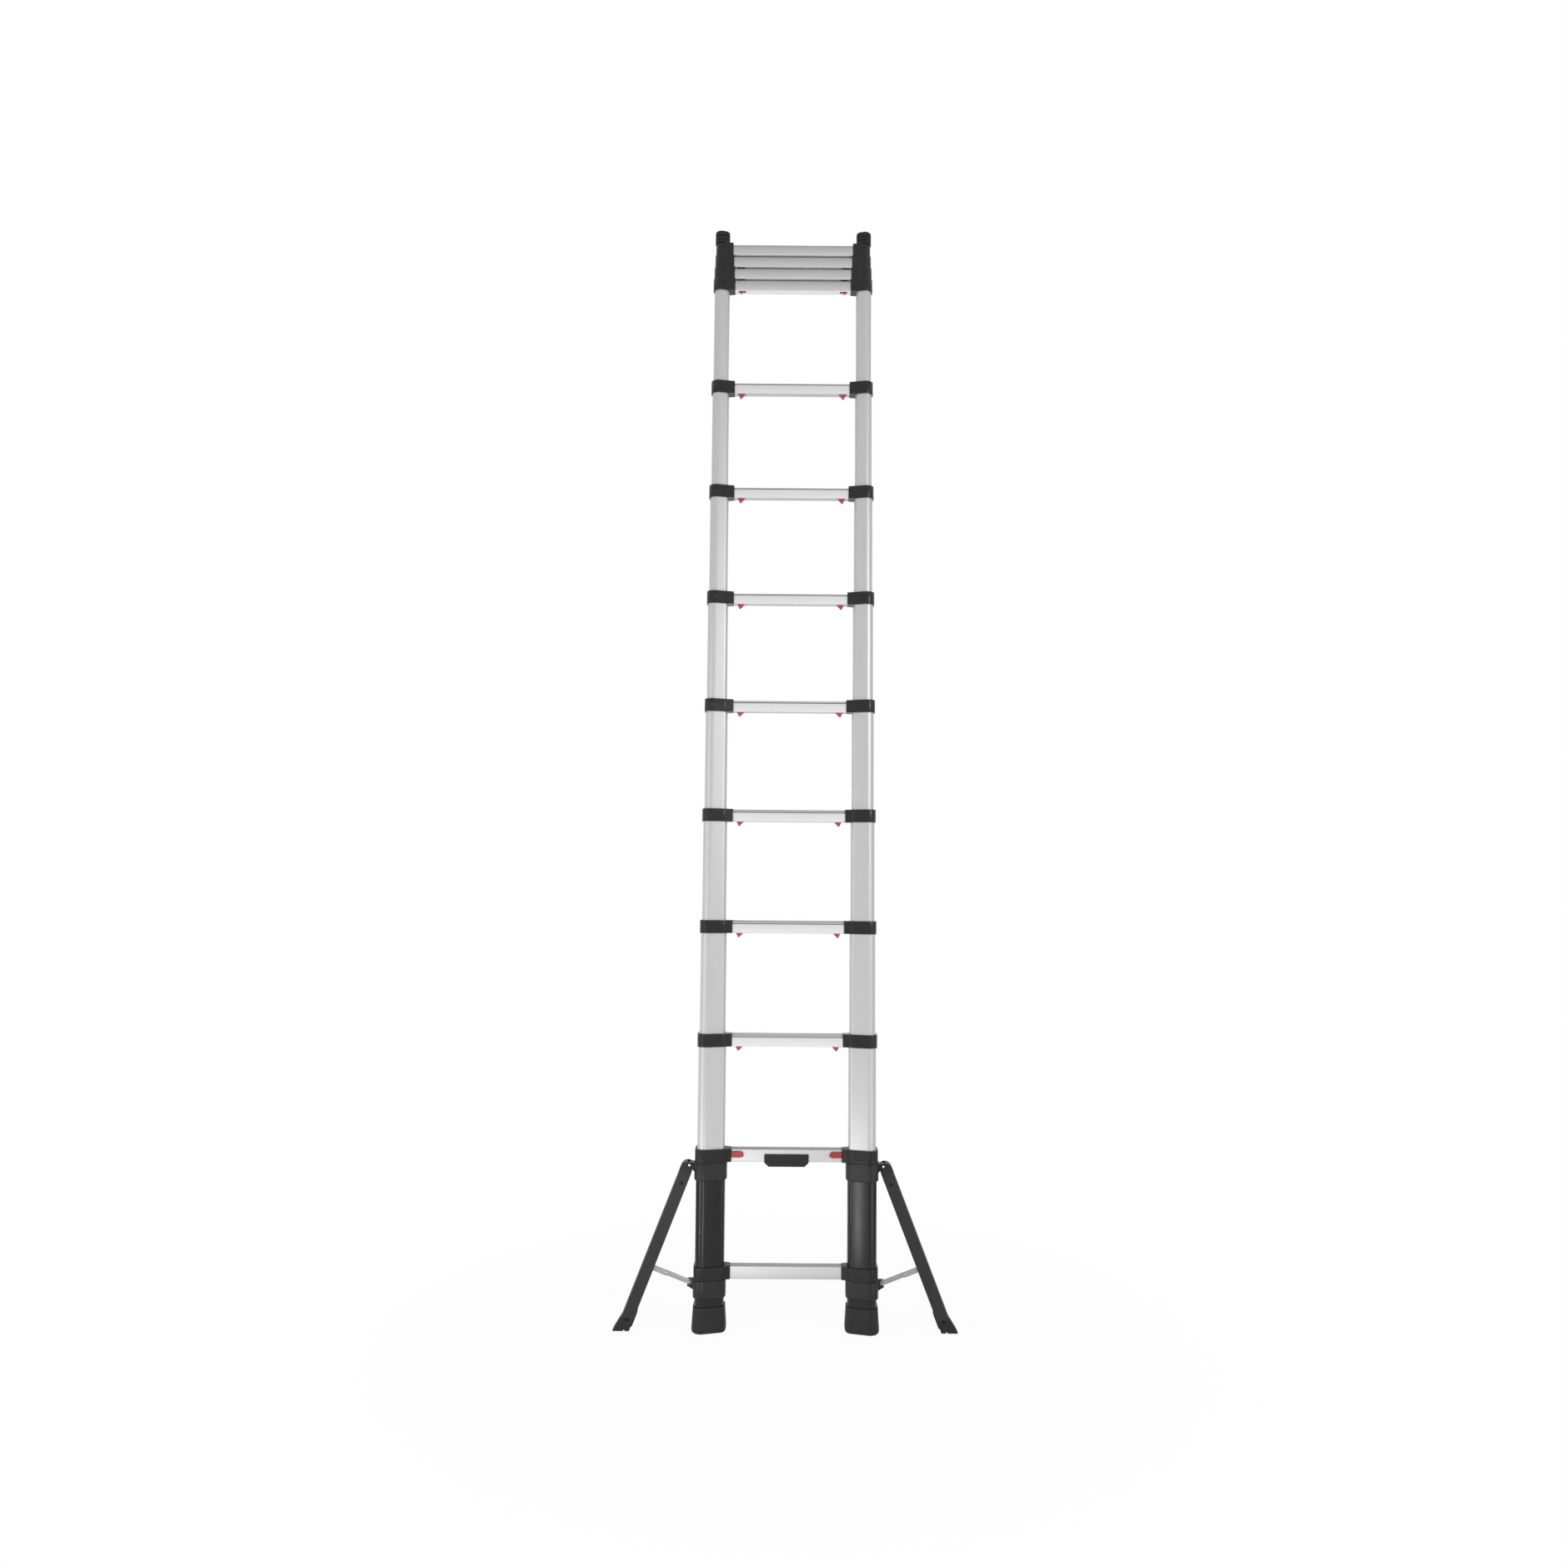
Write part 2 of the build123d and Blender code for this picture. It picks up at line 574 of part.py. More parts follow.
# Collars clamped round the base tubes, with the lugs and pins of the stabilisers
lug_half = LEG_DEPTH / 2 - LEG_WALL - RUNNING_GAP
pin_half = LEG_DEPTH / 2 + LEG_HEAD_GROW + RUNNING_GAP
with BuildPart() as stabiliser_collars:
    for top in (upper_collar_top, lower_collar_top):
        with BuildSketch(Plane.XY.offset(top)):
            StileOutline(1, grow=COLLAR_WALL)
        collar = extrude(amount=-COLLAR_HEIGHT)
        chamfer(collar.edges().group_by(Axis.Z)[0], COLLAR_EDGE)
    with BuildSketch(Plane.XZ.offset(lug_half)):
        with Locations((hinge_across, hinge_up)):
            Circle(HINGE_LUG)
        Polygon(
            (STILE_EDGE, hinge_up + HINGE_LUG),
            (hinge_across, hinge_up + HINGE_LUG),
            (hinge_across, hinge_up - HINGE_LUG),
            (collar_edge, hinge_up - HINGE_LUG_DROP),
            (STILE_EDGE, hinge_up - HINGE_LUG_DROP),
            align=None,
        )
    extrude(amount=-2 * lug_half)
    with BuildSketch(Plane.XZ.offset(pin_half)):
        with Locations((hinge_across, hinge_up)):
            Circle(HINGE_PIN / 2)
    extrude(amount=-2 * pin_half)
    for side in (-1, 1):
        with BuildSketch(Plane.XZ.offset(side * pin_half)):
            with Locations((hinge_across, hinge_up)):
                Circle(HINGE_HEAD / 2)
        extrude(amount=side * HINGE_HEAD_THICK)
    with BuildSketch(Plane.XZ):
        with Locations((hinge_across, hinge_up)):
            Circle(HINGE_BORE / 2)
    extrude(amount=2 * pin_half, both=True, mode=Mode.SUBTRACT)
    with BuildSketch(Plane.XZ.offset(STAY_LUG_THICK / 2)):
        with Locations((stay_across, stay_up)):
            Circle(STAY_LUG_RADIUS)
        Polygon(
            (STILE_EDGE, stay_up + STAY_LUG_RADIUS),
            (stay_across, stay_up + STAY_LUG_RADIUS),
            (stay_across + STAY_LUG_OUT, stay_up - STAY_LUG_SIDE),
            (collar_edge, stay_up - STAY_LUG_DROP),
            (STILE_EDGE, stay_up - STAY_LUG_DROP),
            align=None,
        )
    extrude(amount=-STAY_LUG_THICK)
    with BuildSketch(Plane.XZ.offset(STAY_LUG_THICK / 2)):
        with Locations((stay_across, stay_up)):
            Circle(STAY_PIN / 2)
    extrude(amount=STAY_THICK + 2 * RUNNING_GAP)
    with BuildSketch(Plane.XZ.offset(-short_front)):
        with Locations((stay_across, stay_up)):
            Circle(STAY_PIN_HEAD / 2)
    extrude(amount=RIVET_THICK)
    for top in (upper_collar_top, lower_collar_top):
        with BuildSketch(Plane.XY.offset(top)):
            StileOutline(1, grow=FIT)
        extrude(amount=-COLLAR_HEIGHT, mode=Mode.SUBTRACT)
    mirror(about=Plane.YZ)
save(stabiliser_collars.part, "stabiliser_collars")

# Right-hand leg: a channel open towards the ladder, with a rounded shoulder over its hinge
leg_length = (hinge_up - LEG_END_HEIGHT + LEG_OUTER * sin(spread)) / cos(spread)
leg_out = (cos(spread), 0, sin(spread))
leg_up = (-sin(spread), 0, cos(spread))
leg_face = Plane(origin=(hinge_across, 0, hinge_up), x_dir=leg_out, z_dir=(0, -1, 0))
leg_end = leg_point(leg_length, 0)
end_plane = Plane(origin=(leg_end[0], 0, leg_end[1]), x_dir=leg_out, z_dir=leg_up)
channel_depth = LEG_DEPTH - 2 * LEG_WALL


class LegOutline(BaseSketchObject):
    """Leg seen from the front, from its head down to the given distance below the hinge."""

    def __init__(self, length, mode=Mode.ADD):
        with BuildSketch() as outline:
            Polygon(
                (-LEG_INNER, -length),
                (LEG_OUTER, -length),
                (LEG_OUTER, HINGE_EDGE),
                (-HINGE_EDGE, HINGE_EDGE),
                (-HINGE_EDGE, -HINGE_EDGE),
                (-LEG_INNER, -LEG_NECK),
                align=None,
            )
            fillet(outline.vertices().group_by(Axis.Y)[-1].sort_by(Axis.X)[-1], LEG_SHOULDER)
            fillet(outline.vertices().group_by(Axis.Y)[-1].sort_by(Axis.X)[0], HINGE_EDGE)
        super().__init__(outline.sketch, align=None, mode=mode)


with BuildPart() as leg_right:
    with BuildSketch(end_plane) as bar:
        with Locations((-LEG_INNER, 0)):
            Rectangle(LEG_INNER + LEG_OUTER, LEG_DEPTH, align=(Align.MIN, Align.CENTER))
        chamfer(bar.vertices().group_by(Axis.X)[-1], LEG_EDGE)
    extrude(amount=leg_length - LEG_HEAD_LENGTH)
    with BuildSketch(leg_face):
        LegOutline(LEG_HEAD_LENGTH)
    extrude(amount=LEG_DEPTH / 2 + LEG_HEAD_GROW, both=True)
    with BuildSketch(leg_face) as hollow:
        Polygon(
            (-2 * LEG_INNER, -leg_length),
            (LEG_OUTER - LEG_WALL, -leg_length),
            (LEG_OUTER - LEG_WALL, HINGE_EDGE - LEG_WALL),
            (-2 * LEG_INNER, HINGE_EDGE - LEG_WALL),
            align=None,
        )
        fillet(hollow.vertices().group_by(Axis.X)[-1].sort_by(Axis.Y)[-1], LEG_SHOULDER - LEG_WALL)
        Polygon(
            (-2 * LEG_INNER, -LEG_HEAD_LENGTH),
            (LEG_MOUTH, -LEG_HEAD_LENGTH),
            (LEG_MOUTH, 2 * HINGE_EDGE),
            (-2 * LEG_INNER, 2 * HINGE_EDGE),
            align=None,
        )
    extrude(amount=channel_depth / 2, both=True, mode=Mode.SUBTRACT)
    with BuildSketch(leg_face):
        Circle(HINGE_PIN / 2 + RUNNING_GAP)
    extrude(amount=LEG_DEPTH, both=True, mode=Mode.SUBTRACT)
    with BuildSketch(leg_face.offset(LEG_DEPTH / 2 - LEG_WALL / 2)):
        with Locations((STAY_PIVOT_OUT, -STAY_PIVOT_ALONG)):
            Circle(STAY_PIN / 2)
    extrude(amount=-(LEG_DEPTH / 2 - LEG_WALL / 2 + short_front))
save(leg_right.part, "leg_right")
with BuildPart() as leg_left:
    mirror(leg_right.part, about=Plane.YZ)
save(leg_left.part, "leg_left")

# Rubber boot in line with the leg, with a tongue in its channel, a toe and a heel pad
boot_half = LEG_DEPTH / 2
heel_half = boot_half - HEEL_INSET
sole_inner = hinge_across - LEG_INNER / cos(spread) + hinge_up * tan(spread)
with BuildPart() as leg_foot_right:
    with BuildSketch(Plane.XZ.offset(boot_half)):
        Polygon(
            (sole_inner, 0),
            (sole_inner + BOOT_SOLE, 0),
            (sole_inner + BOOT_SOLE, BOOT_TOE_HEIGHT),
            leg_point(leg_length, LEG_OUTER),
            leg_point(leg_length, -LEG_INNER),
            align=None,
        )
        with Locations((sole_inner + NOTCH_PLACE, 0)):
            Rectangle(NOTCH_WIDTH, 2 * NOTCH_HEIGHT, mode=Mode.SUBTRACT)
    extrude(amount=-2 * boot_half)
    with BuildSketch(Plane.XZ.offset(heel_half)):
        Polygon(
            leg_point(leg_length - HEEL_RISE, -LEG_INNER),
            leg_point(leg_length - HEEL_RISE + HEEL_PROUD, -LEG_INNER - HEEL_PROUD),
            leg_point(leg_length + HEEL_FALL - HEEL_PROUD, -LEG_INNER - HEEL_PROUD),
            leg_point(leg_length + HEEL_FALL, -LEG_INNER),
            align=None,
        )
    extrude(amount=-2 * heel_half)
    with BuildSketch(end_plane):
        with Locations((-LEG_INNER, 0)):
            Rectangle(
                LEG_INNER + LEG_OUTER - LEG_WALL - FIT,
                channel_depth - 2 * FIT,
                align=(Align.MIN, Align.CENTER),
            )
    extrude(amount=BOOT_TONGUE)
save(leg_foot_right.part, "leg_foot_right")
with BuildPart() as leg_foot_left:
    mirror(leg_foot_right.part, about=Plane.YZ)
save(leg_foot_left.part, "leg_foot_left")

# Folding stay: the long link hangs on the collar and the short link on the leg
stay_along = (cos(stay_angle), 0, sin(stay_angle))
long_plane = Plane(origin=(stay_across, stay_front, stay_up), x_dir=stay_along, z_dir=(0, -1, 0))
with BuildPart() as stay_long_right:
    with BuildSketch(long_plane):
        with Locations((long_length / 2, 0)):
            SlotCenterToCenter(long_length, STAY_LONG_WIDTH)
        Circle(STAY_PIN / 2 + RUNNING_GAP, mode=Mode.SUBTRACT)
    extrude(amount=STAY_THICK)
    with BuildSketch(long_plane.offset(STAY_THICK)):
        with Locations((long_length / 2, 0)):
            SlotCenterToCenter(long_length / 2, STAY_GROOVE_WIDTH)
    extrude(amount=-STAY_GROOVE_DEPTH, mode=Mode.SUBTRACT)
    with BuildSketch(long_plane):
        with Locations((long_length, 0)):
            Circle(KNEE_HEAD / 2)
    extrude(amount=-KNEE_HEAD_THICK)
save(stay_long_right.part, "stay_long_right")
with BuildPart() as stay_long_left:
    mirror(stay_long_right.part, about=Plane.YZ)
save(stay_long_left.part, "stay_long_left")

short_plane = Plane(
    origin=(leg_pivot[0], short_front, leg_pivot[1]),
    x_dir=(-cos(stay_angle), 0, -sin(stay_angle)),
    z_dir=(0, -1, 0),
)
with BuildPart() as stay_short_right:
    with BuildSketch(short_plane):
        with Locations((short_length / 2, 0)):
            SlotCenterToCenter(short_length, STAY_SHORT_WIDTH)
        Circle(STAY_PIN / 2 + RUNNING_GAP, mode=Mode.SUBTRACT)
    extrude(amount=STAY_THICK)
    with BuildSketch(short_plane.offset(STAY_THICK)):
        with Locations((short_length, 0)):
            Circle(KNEE_HEAD / 2)
    extrude(amount=KNEE_HEAD_THICK)
save(stay_short_right.part, "stay_short_right")
with BuildPart() as stay_short_left:
    mirror(stay_short_right.part, about=Plane.YZ)
save(stay_short_left.part, "stay_short_left")

folded_angle = atan2(folded_pivot[1] - stay_up, folded_pivot[0] - stay_across)
print(f"hinge {hinge_across:.3f} {hinge_up:.3f}, leg pivot {leg_pivot[0]:.3f} {leg_pivot[1]:.3f}")
print(f"stay pivot {stay_across:.3f} {stay_up:.3f}, links {long_length:.3f} and {short_length:.3f}")
print(f"stay turns {degrees(folded_angle - stay_angle):.3f} as the leg folds {LEG_FOLD}")
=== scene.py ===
from math import cos, pi, radians, sin

import bmesh
import bpy
from mathutils import Matrix, Vector


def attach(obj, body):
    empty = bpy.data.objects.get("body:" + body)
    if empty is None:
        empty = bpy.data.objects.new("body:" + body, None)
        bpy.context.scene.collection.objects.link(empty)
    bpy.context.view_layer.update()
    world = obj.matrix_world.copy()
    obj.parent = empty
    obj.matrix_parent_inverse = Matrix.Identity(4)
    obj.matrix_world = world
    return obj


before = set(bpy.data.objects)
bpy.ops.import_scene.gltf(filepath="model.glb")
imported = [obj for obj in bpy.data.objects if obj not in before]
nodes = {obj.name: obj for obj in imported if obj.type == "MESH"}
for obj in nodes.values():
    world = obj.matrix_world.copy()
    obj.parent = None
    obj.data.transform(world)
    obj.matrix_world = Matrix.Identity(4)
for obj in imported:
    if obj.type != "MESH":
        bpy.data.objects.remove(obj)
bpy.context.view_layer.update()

# Telescopic ladder: finishes for the CAD nodes, rung nosings, small fasteners, floor, light and camera.
# Metres and degrees, in the frame of the CAD model: X across, Y from front to back, Z up.

# Places on the CAD model, for the right-hand side: (across, up) pairs, depths, angles and distances
LEG_SPREAD = 21.3
LEG_FRONT = -0.016
LEG_HEAD = 0.023
LEG_STRIP = 0.0182
LEG_RIVET = (0.2762, 0.3772)
BOOT_BOLT = (0.4135, 0.0293)
HINGE = (0.2555, 0.4245)
HINGE_FRONT = -0.0186
STAY_PIVOT = (0.2535, 0.124)
STAY_RIVET_FRONT = -0.0106
STAY_ANGLE = 20.9
KNEE_ALONG = 0.06308
KNEE_FRONT = -0.0123
STILE_AXIS = 0.2
# Depths between which the tread is painted dark as groove shade, and behind which its back edge is painted
# darker as shade
GROOVE_SHADE = (-0.0118, -0.0068)
TREAD_BACK = 0.0098
RUNG_BELOW = 0.0172

# Camera fitted to the photograph, whose image is 1880 pixels square, with the sensor in millimetres
CAMERA_PLACE = (-0.0143, -3.2, 1.1568)
CAMERA_PITCH = 5.005
CAMERA_ROLL = 0.454
FOCAL_PIXELS = 1412
IMAGE_PIXELS = 1880
SENSOR = 36

# Noise scales per metre along X, Y and Z, and offsets that keep the noises of one finish apart
TUBE_LINES = (700, 700, 5)
TUBE_SMUDGE = (9, 9, 4)
TUBE_RUBS = (420, 420, 1.6)
TUBE_RUBS_OFFSET = (3.1, 1.7, 0.4)
RUNG_LINES = (4, 800, 800)
RUNG_SMUDGE = (7, 30, 30)
RUNG_WEAR = (12, 60, 60)
RUNG_WEAR_OFFSET = (1.3, 0.2, 4.4)
MOULD_CLOUD = (24, 24, 24)
COAT_CLOUD = (14, 14, 5)
COAT_STREAKS = (260, 260, 2)
LEG_STREAKS = (260, 260, 3)
STREAK_OFFSET = (0.7, 2.2, 0.9)
BOLT_PEEL = (600, 600, 600)
TUBE_PEEL = (500, 500, 90)
LEG_PEEL = (700, 700, 700)
ZINC_SPANGLE = (180, 180, 180)
ZINC_STAIN = (40, 40, 40)

# Curvature of the crowned tube faces, per metre, and the height of the fine grain on them
ALUMINIUM_CROWN = 1.0
ALUMINIUM_GRAIN = 0.00002
BLACK_CROWN = 3.8
BLACK_GRAIN = 0.00001


class Finish:
    """A procedural material: a Principled shader with the textures that drive it."""

    def __init__(self, name, **settings):
        self.material = bpy.data.materials.new(name)
        self.material.use_nodes = True
        self.tree = self.material.node_tree
        self.shader = self.tree.nodes["Principled BSDF"]
        for socket, value in settings.items():
            self.shader.inputs[socket.replace("_", " ")].default_value = value
        self.place = self.node("ShaderNodeTexCoord").outputs["Object"]

    def node(self, kind, **settings):
        made = self.tree.nodes.new(kind)
        for key, value in settings.items():
            setattr(made, key, value)
        return made

    def link(self, source, target):
        self.tree.links.new(source, target)

    def feed(self, socket, value):
        if hasattr(value, "is_linked"):
            self.link(value, socket)
        else:
            socket.default_value = value

    def math(self, operation, first, second=0.0, third=0.0):
        made = self.node("ShaderNodeMath", operation=operation)
        for socket, value in zip(made.inputs, (first, second, third)):
            self.feed(socket, value)
        return made.outputs[0]

    def noise(self, stretch, detail=4.0, roughness=0.55, offset=(0, 0, 0)):
        """Noise whose scale per metre differs along X, Y and Z."""
        mapping = self.node("ShaderNodeMapping")
        mapping.inputs["Scale"].default_value = stretch
        mapping.inputs["Location"].default_value = offset
        self.link(self.place, mapping.inputs["Vector"])
        made = self.node("ShaderNodeTexNoise")
        made.inputs["Scale"].default_value = 1.0
        made.inputs["Detail"].default_value = detail
        made.inputs["Roughness"].default_value = roughness
        self.link(mapping.outputs[0], made.inputs["Vector"])
        return made.outputs["Fac"]

    def ramp(self, source, *stops):
        """Colours or grey levels along a value, as (position, level) pairs."""
        made = self.node("ShaderNodeValToRGB")
        elements = made.color_ramp.elements
        while len(elements) < len(stops):
            elements.new(0.5)
        for element, (position, level) in zip(elements, stops):
            colour = level if hasattr(level, "__len__") else grey(level)
            element.position = position
            element.color = (*colour, 1)
        self.link(source, made.inputs["Fac"])
        return made.outputs["Color"]

    def mix(self, share, first, second, blend="MIX"):
        """Two colours mixed by a share: 6, 7 and 2 are the colour sockets of Blender's Mix node."""
        made = self.node("ShaderNodeMix", data_type="RGBA", blend_type=blend)
        self.feed(made.inputs[0], share)
        self.feed(made.inputs[6], first)
        self.feed(made.inputs[7], second)
        return made.outputs[2]

    def component(self, vector, index):
        parts = self.node("ShaderNodeSeparateXYZ")
        self.link(vector, parts.inputs[0])
        return parts.outputs[index]

    def axis(self, index):
        return self.component(self.place, index)

    def normal_axis(self, index):
        return self.component(self.node("ShaderNodeNewGeometry").outputs["Normal"], index)

    def colour(self, source):
        self.link(source, self.shader.inputs["Base Color"])

    def roughness(self, source):
        self.link(source, self.shader.inputs["Roughness"])

    def crown(self, amount, fine, grain):
        """Slightly crowned faces of both stile tubes, with a fine height of the given grain on them."""
        across = self.math("SUBTRACT", self.math("ABSOLUTE", self.axis(0)), STILE_AXIS)
        dome = self.math("MULTIPLY", self.math("MULTIPLY", across, across), -amount / 2)
        self.bump(self.math("MULTIPLY_ADD", fine, grain, dome), 1.0, 1.0)

    def bump(self, source, strength, distance):
        made = self.node("ShaderNodeBump")
        made.inputs["Strength"].default_value = strength
        made.inputs["Distance"].default_value = distance
        self.link(source, made.inputs["Height"])
        self.link(made.outputs[0], self.shader.inputs["Normal"])


def scaled(colour, share, lift=0.0):
    return tuple(part * share + lift for part in colour)


def grey(level, tint=(1, 1, 1)):
    return scaled(tint, level)


def aluminium_tube(name, level):
    """Drawn tube: long faint die lines up the tube, soft smudges and a few rub marks."""
    finish = Finish(name, Metallic=0.5)
    lines = finish.noise(TUBE_LINES, detail=3)
    smudge = finish.noise(TUBE_SMUDGE, detail=5)
    rubs = finish.noise(TUBE_RUBS, detail=2, offset=TUBE_RUBS_OFFSET)
    base = finish.ramp(lines, (0.3, grey(level * 0.96, (0.99, 0.99, 1))), (0.7, grey(level)))
    worn = finish.mix(finish.ramp(rubs, (0.66, 0.0), (0.74, 0.3)), base, (*grey(level * 0.8), 1))
    smudged = finish.ramp(smudge, (0.35, 0.0), (0.75, 0.18))
    finish.colour(finish.mix(smudged, worn, (*grey(level * 0.88), 1)))
    finish.roughness(finish.ramp(smudge, (0.3, 0.36), (0.7, 0.44)))
    finish.crown(ALUMINIUM_CROWN, lines, ALUMINIUM_GRAIN)
    return finish.material


def aluminium_rung(name, front, tread, groove_shade, back, low, high):
    """Extruded rung: die lines along it, a front of painted light and shade, and a worn tread painted
    darker as shade, with the groove strip painted dark as shade and painted shade along the tread's back
    edge.

    The front is a row of (share of the height, painted level) stops between the heights low and high.
    """
    finish = Finish(name, Metallic=0.5)
    lines = finish.noise(RUNG_LINES, detail=3)
    smudge = finish.noise(RUNG_SMUDGE, detail=5)
    wear = finish.noise(RUNG_WEAR, detail=4, offset=RUNG_WEAR_OFFSET)
    upward = finish.ramp(finish.normal_axis(2), (0.55, 0.0), (0.8, 1.0))
    depth = finish.axis(1)
    rise = finish.math("DIVIDE", finish.math("SUBTRACT", finish.axis(2), low), high - low)
    # Strip across the tread, painted dark as the shade of a groove
    strip = finish.math(
        "MULTIPLY",
        finish.math("GREATER_THAN", depth, GROOVE_SHADE[0]),
        finish.math("LESS_THAN", depth, GROOVE_SHADE[1]),
    )
    # Painted light and shade up the front's height
    shade = finish.ramp(rise, *front)
    drawn = finish.ramp(lines, (0.3, grey(0.96)), (0.7, grey(1, (1, 0.995, 1))))
    base = finish.mix(1.0, shade, drawn, "MULTIPLY")
    # Tread painted darker as shade, with patches of wear
    top = finish.ramp(wear, (0.3, grey(tread * 0.9)), (0.75, grey(tread * 1.08)))
    # Tread's back edge painted darker as shade
    edged = finish.mix(finish.math("GREATER_THAN", depth, TREAD_BACK), top, (*grey(back), 1))
    groove_shaded = finish.mix(strip, edged, (*grey(groove_shade), 1))
    whole = finish.mix(upward, base, groove_shaded)
    smudged = finish.ramp(smudge, (0.4, 0.0), (0.8, 0.1))
    finish.colour(finish.mix(smudged, whole, (*grey(tread), 1)))
    finish.roughness(finish.ramp(smudge, (0.3, 0.42), (0.7, 0.52)))
    finish.bump(lines, 0.05, 0.0004)
    return finish.material


def moulded(name, colour, roughness, grain, specular=0.3):
    """Moulded plastic or rubber: fine spark-eroded grain and dusty patches."""
    finish = Finish(name, Specular_IOR_Level=specular)
    fine = finish.noise((grain, grain, grain), detail=2)
    cloud = finish.noise(MOULD_CLOUD, detail=5)
    base = finish.ramp(fine, (0.3, scaled(colour, 0.85)), (0.7, colour))
    dusty = finish.ramp(cloud, (0.45, 0.0), (0.8, 0.5))
    finish.colour(finish.mix(dusty, base, (*scaled(colour, 1.5, 0.004), 1)))
    finish.roughness(finish.ramp(cloud, (0.3, roughness - 0.06), (0.7, roughness + 0.08)))
    finish.bump(fine, 0.12, 0.0004)
    return finish.material


def coat(finish, colour, streaks, rubbed):
    """Dust and rubbed streaks of a coated metal: the dust noise, and the colour with both."""
    cloud = finish.noise(COAT_CLOUD, detail=5)
    streak = finish.noise(streaks, detail=3, offset=STREAK_OFFSET)
    base = finish.ramp(cloud, (0.3, scaled(colour, 0.9)), (0.75, colour))
    return cloud, finish.mix(finish.ramp(streak, (0.6, 0.0), (0.78, 0.4)), base, (*rubbed, 1))


def painted(name, colour, roughness, specular):
    """Powder-coated metal: orange-peel waviness with slight dust and rubbed streaks."""
    finish = Finish(name, Specular_IOR_Level=specular)
    cloud, worn = coat(finish, colour, COAT_STREAKS, scaled(colour, 1.6, 0.004))
    finish.colour(worn)
    finish.roughness(finish.ramp(cloud, (0.3, roughness - 0.05), (0.7, roughness + 0.07)))
    finish.bump(finish.noise(BOLT_PEEL, detail=2), 0.05, 0.0005)
    return finish.material


def coated_tube(name, colour, roughness, specular):
    """Black lacquered tube: slight orange peel, faint dust and long rubbed streaks."""
    finish = Finish(name, Specular_IOR_Level=specular)
    cloud, worn = coat(finish, colour, COAT_STREAKS, scaled(colour, 1.6, 0.003))
    finish.colour(worn)
    finish.roughness(finish.ramp(cloud, (0.3, roughness - 0.03), (0.7, roughness + 0.05)))
    finish.crown(BLACK_CROWN, finish.noise(TUBE_PEEL, detail=2), BLACK_GRAIN)
    return finish.material


def stabiliser_leg(name, colour, edge, head, roughness):
    """Dark coated channel with a lighter strip along its outer edge and a black moulded head over its
    hinge.
    """
    finish = Finish(name, Specular_IOR_Level=0.32)
    spread = radians(LEG_SPREAD)
    across = finish.math("SUBTRACT", finish.math("ABSOLUTE", finish.axis(0)), HINGE[0])
    height = finish.math("SUBTRACT", finish.axis(2), HINGE[1])
    along = finish.math(
        "SUBTRACT",
        finish.math("MULTIPLY", across, sin(spread)),
        finish.math("MULTIPLY", height, cos(spread)),
    )
    out = finish.math(
        "ADD",
        finish.math("MULTIPLY", across, cos(spread)),
        finish.math("MULTIPLY", height, sin(spread)),
    )
    cloud, worn = coat(finish, colour, LEG_STREAKS, scaled(colour, 1.7, 0.006))
    edged = finish.mix(finish.math("GREATER_THAN", out, LEG_STRIP), worn, (*edge, 1))
    finish.colour(finish.mix(finish.math("LESS_THAN", along, LEG_HEAD), edged, (*head, 1)))
    finish.roughness(finish.ramp(cloud, (0.3, roughness - 0.05), (0.7, roughness + 0.07)))
    finish.bump(finish.noise(LEG_PEEL, detail=2), 0.05, 0.0005)
    return finish.material


def zinc(name, level):
    """Zinc-plated steel: mottled spangle with darker stains."""
    finish = Finish(name, Metallic=0.85)
    spangle = finish.noise(ZINC_SPANGLE, detail=5, roughness=0.7)
    stain = finish.noise(ZINC_STAIN, detail=4)
    base = finish.ramp(spangle, (0.3, grey(level * 0.86, (0.98, 0.99, 1))), (0.7, grey(level)))
    stained = finish.ramp(stain, (0.5, 0.0), (0.8, 0.3))
    finish.colour(finish.mix(stained, base, (*grey(level * 0.6), 1)))
    finish.roughness(finish.ramp(spangle, (0.3, 0.28), (0.7, 0.42)))
    finish.bump(spangle, 0.1, 0.0004)
    return finish.material


# Finishes: after the colours or the level come roughness, for mouldings the grain per metre, and the gloss
finishes = {
    "aluminium_tube": aluminium_tube("aluminium_tube", 0.52),
    "black_tube": coated_tube("black_tube", (0.007, 0.007, 0.0075), 0.27, 0.3),
    "knuckle": moulded("knuckle_plastic", (0.0085, 0.0085, 0.009), 0.28, 1500, 0.33),
    "base_knuckle": moulded("base_knuckle_plastic", (0.011, 0.011, 0.0115), 0.44, 1500, 0.24),
    "collar": moulded("collar_plastic", (0.014, 0.0135, 0.014), 0.44, 1500, 0.28),
    "rubber": moulded("rubber", (0.014, 0.0135, 0.014), 0.52, 1100, 0.24),
    "button": moulded("button_red", (0.36, 0.042, 0.042), 0.4, 1800),
    "trigger": moulded("trigger_red", (0.36, 0.06, 0.09), 0.42, 1800),
    "leg": stabiliser_leg(
        "leg_metal", (0.019, 0.0178, 0.0186), (0.085, 0.083, 0.085), (0.009, 0.009, 0.0095), 0.45
    ),
    "bolt": painted("bolt_black", (0.004, 0.004, 0.0045), 0.35, 0.2),
    "stay": zinc("stay_steel", 0.36),
    "bright": zinc("bright_steel", 0.8),
    "plate": moulded("plate_plastic", (0.012, 0.0115, 0.0125), 0.5, 1500, 0.25),
}

# Finish of each node by the start of its name, where the first that fits holds
FINISH_OF = (
    ("base_stiles", "black_tube"),
    ("base_knuckles", "base_knuckle"),
    ("stiles", "aluminium_tube"),
    ("knuckles", "knuckle"),
    ("triggers", "trigger"),
    ("top_caps", "rubber"),
    ("ladder_feet", "rubber"),
    ("leg_foot", "rubber"),
    ("leg", "leg"),
    ("stay", "stay"),
    ("stabiliser_collars", "collar"),
    ("release_button", "button"),
    ("front_plate", "plate"),
)
